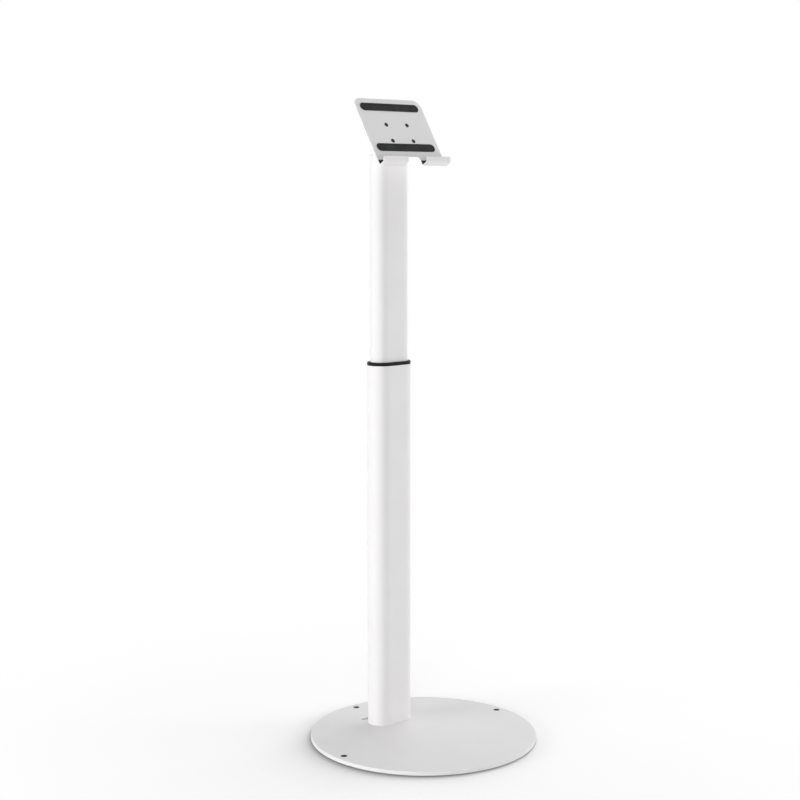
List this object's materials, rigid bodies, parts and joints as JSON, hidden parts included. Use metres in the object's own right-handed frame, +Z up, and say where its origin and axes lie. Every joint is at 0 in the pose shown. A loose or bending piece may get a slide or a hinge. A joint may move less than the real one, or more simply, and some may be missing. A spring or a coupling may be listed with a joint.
{
  "type": "adjustable tablet floor stand",
  "caption": "Floor stand with a round base, a telescoping oval column with a clamp knob behind it, and a tilting sheet-metal holder whose lined hooks carry a tablet.",
  "frame": {"origin": "on the floor, under the centre of the round base", "axes": "+Z up along the column, -Y towards the user, +X to the user's right"},
  "size_m": [0.37, 0.37, 1.0372],
  "materials": {
    "white_steel": "satin white powder coat on steel",
    "white_casting": "satin white powder coat on an aluminium casting",
    "bare_casting": "bare cast aluminium",
    "black_plastic": "moulded, fine grain",
    "black_rubber": "matt",
    "dark_screws": "black oxide",
    "zinc_steel": "zinc plated"
  },
  "bodies": {
    "base_column": {"base_plate": "white_steel", "floor_pads": "black_rubber", "floor_plugs": "black_plastic", "foot_block": "bare_casting", "foot_screws": "dark_screws", "outer_tube": "white_steel", "foot_side_screws": "dark_screws", "guide_collar": "black_plastic", "lock_bush": "zinc_steel", "brake_shoe": "black_plastic"},
    "clamp_screw": {"lock_screw": "zinc_steel"},
    "clamp_knob": {"hand_knob": "black_plastic"},
    "riser": {"inner_tube": "white_steel", "lower_glide": "black_plastic", "tilt_head": "white_casting", "head_side_screws": "dark_screws", "hinge_bolt": "dark_screws", "friction_washers": "black_plastic", "disc_springs": "zinc_steel", "lock_nut": "zinc_steel"},
    "holder": {"tilt_knuckle": "white_casting", "holder_plate": "white_steel", "holder_screws": "dark_screws", "hook_liners": "black_rubber", "face_strips": "black_rubber"}
  },
  "joints": [
    {"name": "height_slide", "type": "slide", "parent": "base_column", "child": "riser", "axis": [0, 0, 1], "range_m": [-0.27, 0.15]},
    {"name": "holder_tilt", "type": "hinge", "parent": "riser", "child": "holder", "pos_m": [0, 0.085, 0.966], "axis": [1, 0, 0], "range_deg": [-28, 30]},
    {"name": "clamp_travel", "type": "slide", "parent": "base_column", "child": "clamp_screw", "axis": [0, 1, 0], "range_m": [0, 0.0026]},
    {"name": "knob_turn", "type": "hinge", "parent": "clamp_screw", "child": "clamp_knob", "pos_m": [0, 0.085, 0.585], "axis": [0, 1, 0], "range_deg": [0, 720]}
  ],
  "couplings": [
    {"joint": "clamp_travel", "follows": "knob_turn", "m_per_rad": 0.00019894}
  ]
}
